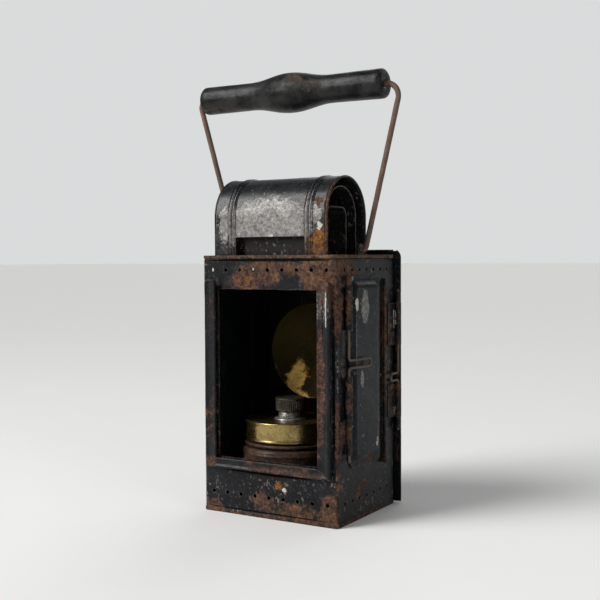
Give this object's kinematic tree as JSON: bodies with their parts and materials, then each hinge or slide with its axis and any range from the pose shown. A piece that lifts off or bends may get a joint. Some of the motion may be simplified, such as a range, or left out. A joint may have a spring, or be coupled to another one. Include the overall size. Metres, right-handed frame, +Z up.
{
  "type": "hand lantern",
  "caption": "Sheet-steel hand lantern: sliding front window, sprung side shutters, rear door with a reflector, vented barrel hood, wire bail with a wooden grip, oil font inside.",
  "frame": {"origin": "the middle of the case's base, on the surface that the lantern stands on", "axes": "+Z up, the window faces -Y, +X to the right of a person who looks at the window"},
  "size_m": [0.1689, 0.0956, 0.3147],
  "materials": {
    "japanned_case": "semi-gloss black japan, worn and rusty at the edges",
    "japanned_inside": "sooty black",
    "rusty_top": "brown rust with rests of black japan",
    "rusty_channel": "brown rust with bright worn edges",
    "rusty_strip": "black japan and brown rust",
    "japanned_shutter": "semi-gloss blue-black japan with chips",
    "japanned_door": "black japan with rusty edges",
    "rusty_wire": "brown rusty wire",
    "bail_wire_rust": "evenly rusty wire",
    "worn_hood": "black japan worn to grey metal at the front",
    "clear_glass": "clear, slightly dusty",
    "green_glass": "clear green",
    "red_glass": "clear red",
    "reflector_brass": "tarnished, spotted",
    "band_brass": "satin, slightly tarnished",
    "brown_tin": "brown lacquered tin, worn",
    "bright_tin": "bright",
    "dark_cap": "dark bronze-black, worn at the top edge",
    "painted_wood": "black paint, worn to brown in spots",
    "wick_cotton": "woven cotton, charred at the top",
    "cap_leather": "plain"
  },
  "bodies": {
    "case": {"case_shell": "japanned_case", "floor_pan": "japanned_inside", "top_plate": "rusty_top", "window_channel_left": "rusty_channel", "window_channel_right": "rusty_channel", "window_sill_channel": "rusty_channel", "side_frame_left": "japanned_inside", "side_frame_right": "japanned_inside", "side_glass_left": "green_glass", "side_glass_right": "red_glass", "shutter_rest_left": "rusty_strip", "shutter_rest_right": "rusty_strip", "shutter_ears_left": "rusty_strip", "shutter_ears_right": "rusty_strip", "rear_hinge_straps": "rusty_strip", "rear_hinge_pin": "rusty_wire", "hood_outer": "worn_hood", "hood_inner": "japanned_inside", "flue_duct": "japanned_inside", "hood_rivets": "rusty_strip", "bail_lug_left": "rusty_strip", "bail_lug_right": "rusty_strip", "lug_rivets": "rusty_strip", "font_seat": "japanned_inside", "font_tank": "brown_tin", "font_ring": "japanned_inside", "font_cover": "band_brass", "burner_neck": "bright_tin", "wick_tube": "band_brass", "wick": "wick_cotton"},
    "front_glass": {"front_glass": "clear_glass"},
    "shutter_left": {"shutter_left": "japanned_shutter", "shutter_pin_left": "rusty_wire"},
    "shutter_right": {"shutter_right": "japanned_shutter", "shutter_pin_right": "rusty_wire"},
    "rear_door": {"rear_door": "japanned_door", "reflector": "reflector_brass", "reflector_bracket": "japanned_inside", "reflector_rivet": "reflector_brass"},
    "bail": {"bail_wire": "bail_wire_rust"},
    "grip": {"grip": "painted_wood"},
    "cap_gasket": {"cap_gasket": "cap_leather"},
    "burner_cap": {"burner_cap": "dark_cap"}
  },
  "joints": [
    {"name": "front_glass_slide", "type": "slide", "parent": "case", "child": "front_glass", "axis": [0, 0, 1], "range_m": [0, 0.125]},
    {"name": "shutter_left_swing", "type": "hinge", "parent": "case", "child": "shutter_left", "pos_m": [-0.0579, -0.032, 0.1], "axis": [0, 0, 1], "range_deg": [0, 150], "stiffness_Nm_per_rad": 0.01, "springref_deg": -28.65},
    {"name": "shutter_right_swing", "type": "hinge", "parent": "case", "child": "shutter_right", "pos_m": [0.0579, -0.032, 0.1], "axis": [0, 0, -1], "range_deg": [0, 150], "stiffness_Nm_per_rad": 0.01, "springref_deg": -28.65},
    {"name": "rear_door_swing", "type": "hinge", "parent": "case", "child": "rear_door", "pos_m": [0.0579, 0.0439, 0.1], "axis": [0, 0, -1], "range_deg": [0, 110], "stiffness_Nm_per_rad": 0.03, "springref_deg": -28.65},
    {"name": "bail_swing", "type": "hinge", "parent": "case", "child": "bail", "pos_m": [0, 0, 0.187], "axis": [1, 0, 0], "range_deg": [-82, 90]},
    {"name": "grip_spin", "type": "hinge", "parent": "bail", "child": "grip", "pos_m": [-0.003, -0.00495, 0.30039], "axis": [1, 0, 0], "continuous": true},
    {"name": "cap_rise", "type": "slide", "parent": "case", "child": "cap_gasket", "axis": [0, 0, 1], "range_m": [0, 0.005]},
    {"name": "cap_turn", "type": "hinge", "parent": "cap_gasket", "child": "burner_cap", "pos_m": [-0.0055, -0.0055, 0.08], "axis": [0, 0, 1], "range_deg": [0, 1440]}
  ],
  "couplings": [
    {"joint": "cap_rise", "follows": "cap_turn", "m_per_rad": 0.00019894}
  ]
}
